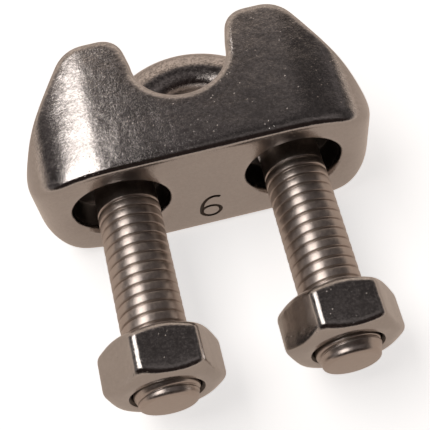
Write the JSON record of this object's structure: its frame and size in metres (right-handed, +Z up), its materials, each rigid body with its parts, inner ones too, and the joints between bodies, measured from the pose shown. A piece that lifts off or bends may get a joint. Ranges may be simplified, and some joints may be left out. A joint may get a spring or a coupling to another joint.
{
  "type": "wire rope clip",
  "caption": "Wire rope clip: cast saddle with a round rope seat, threaded U-bolt through its holes, and a hex nut on each leg to clamp rope in the bow.",
  "frame": {"origin": "under the middle of the whole clip, on the plane it lies on with its saddle's rear face down", "axes": "+X across the two legs, +Y from the nuts toward the bow, +Z up, along the rope, out of the front face"},
  "size_m": [0.027, 0.029, 0.0119],
  "materials": {
    "saddle": "polished stainless casting",
    "u_bolt": "polished stainless, rolled thread",
    "nuts": "bright stainless, lightly scratched"
  },
  "bodies": {
    "u_bolt": {"u_bolt": "u_bolt"},
    "saddle": {"saddle": "saddle"},
    "nut_left": {"nut_left": "nuts"},
    "nut_right": {"nut_right": "nuts"}
  },
  "joints": [
    {"name": "saddle_slide", "type": "slide", "parent": "u_bolt", "child": "saddle", "axis": [0, 1, 0], "range_m": [-0.0093, 0.0024]},
    {"name": "nut_left_travel", "type": "slide", "parent": "u_bolt", "child": "nut_left", "axis": [0, 1, 0], "range_m": [-0.00085, 0.0019]},
    {"name": "nut_right_travel", "type": "slide", "parent": "u_bolt", "child": "nut_right", "axis": [0, 1, 0], "range_m": [-0.00115, 0.0016]}
  ]
}
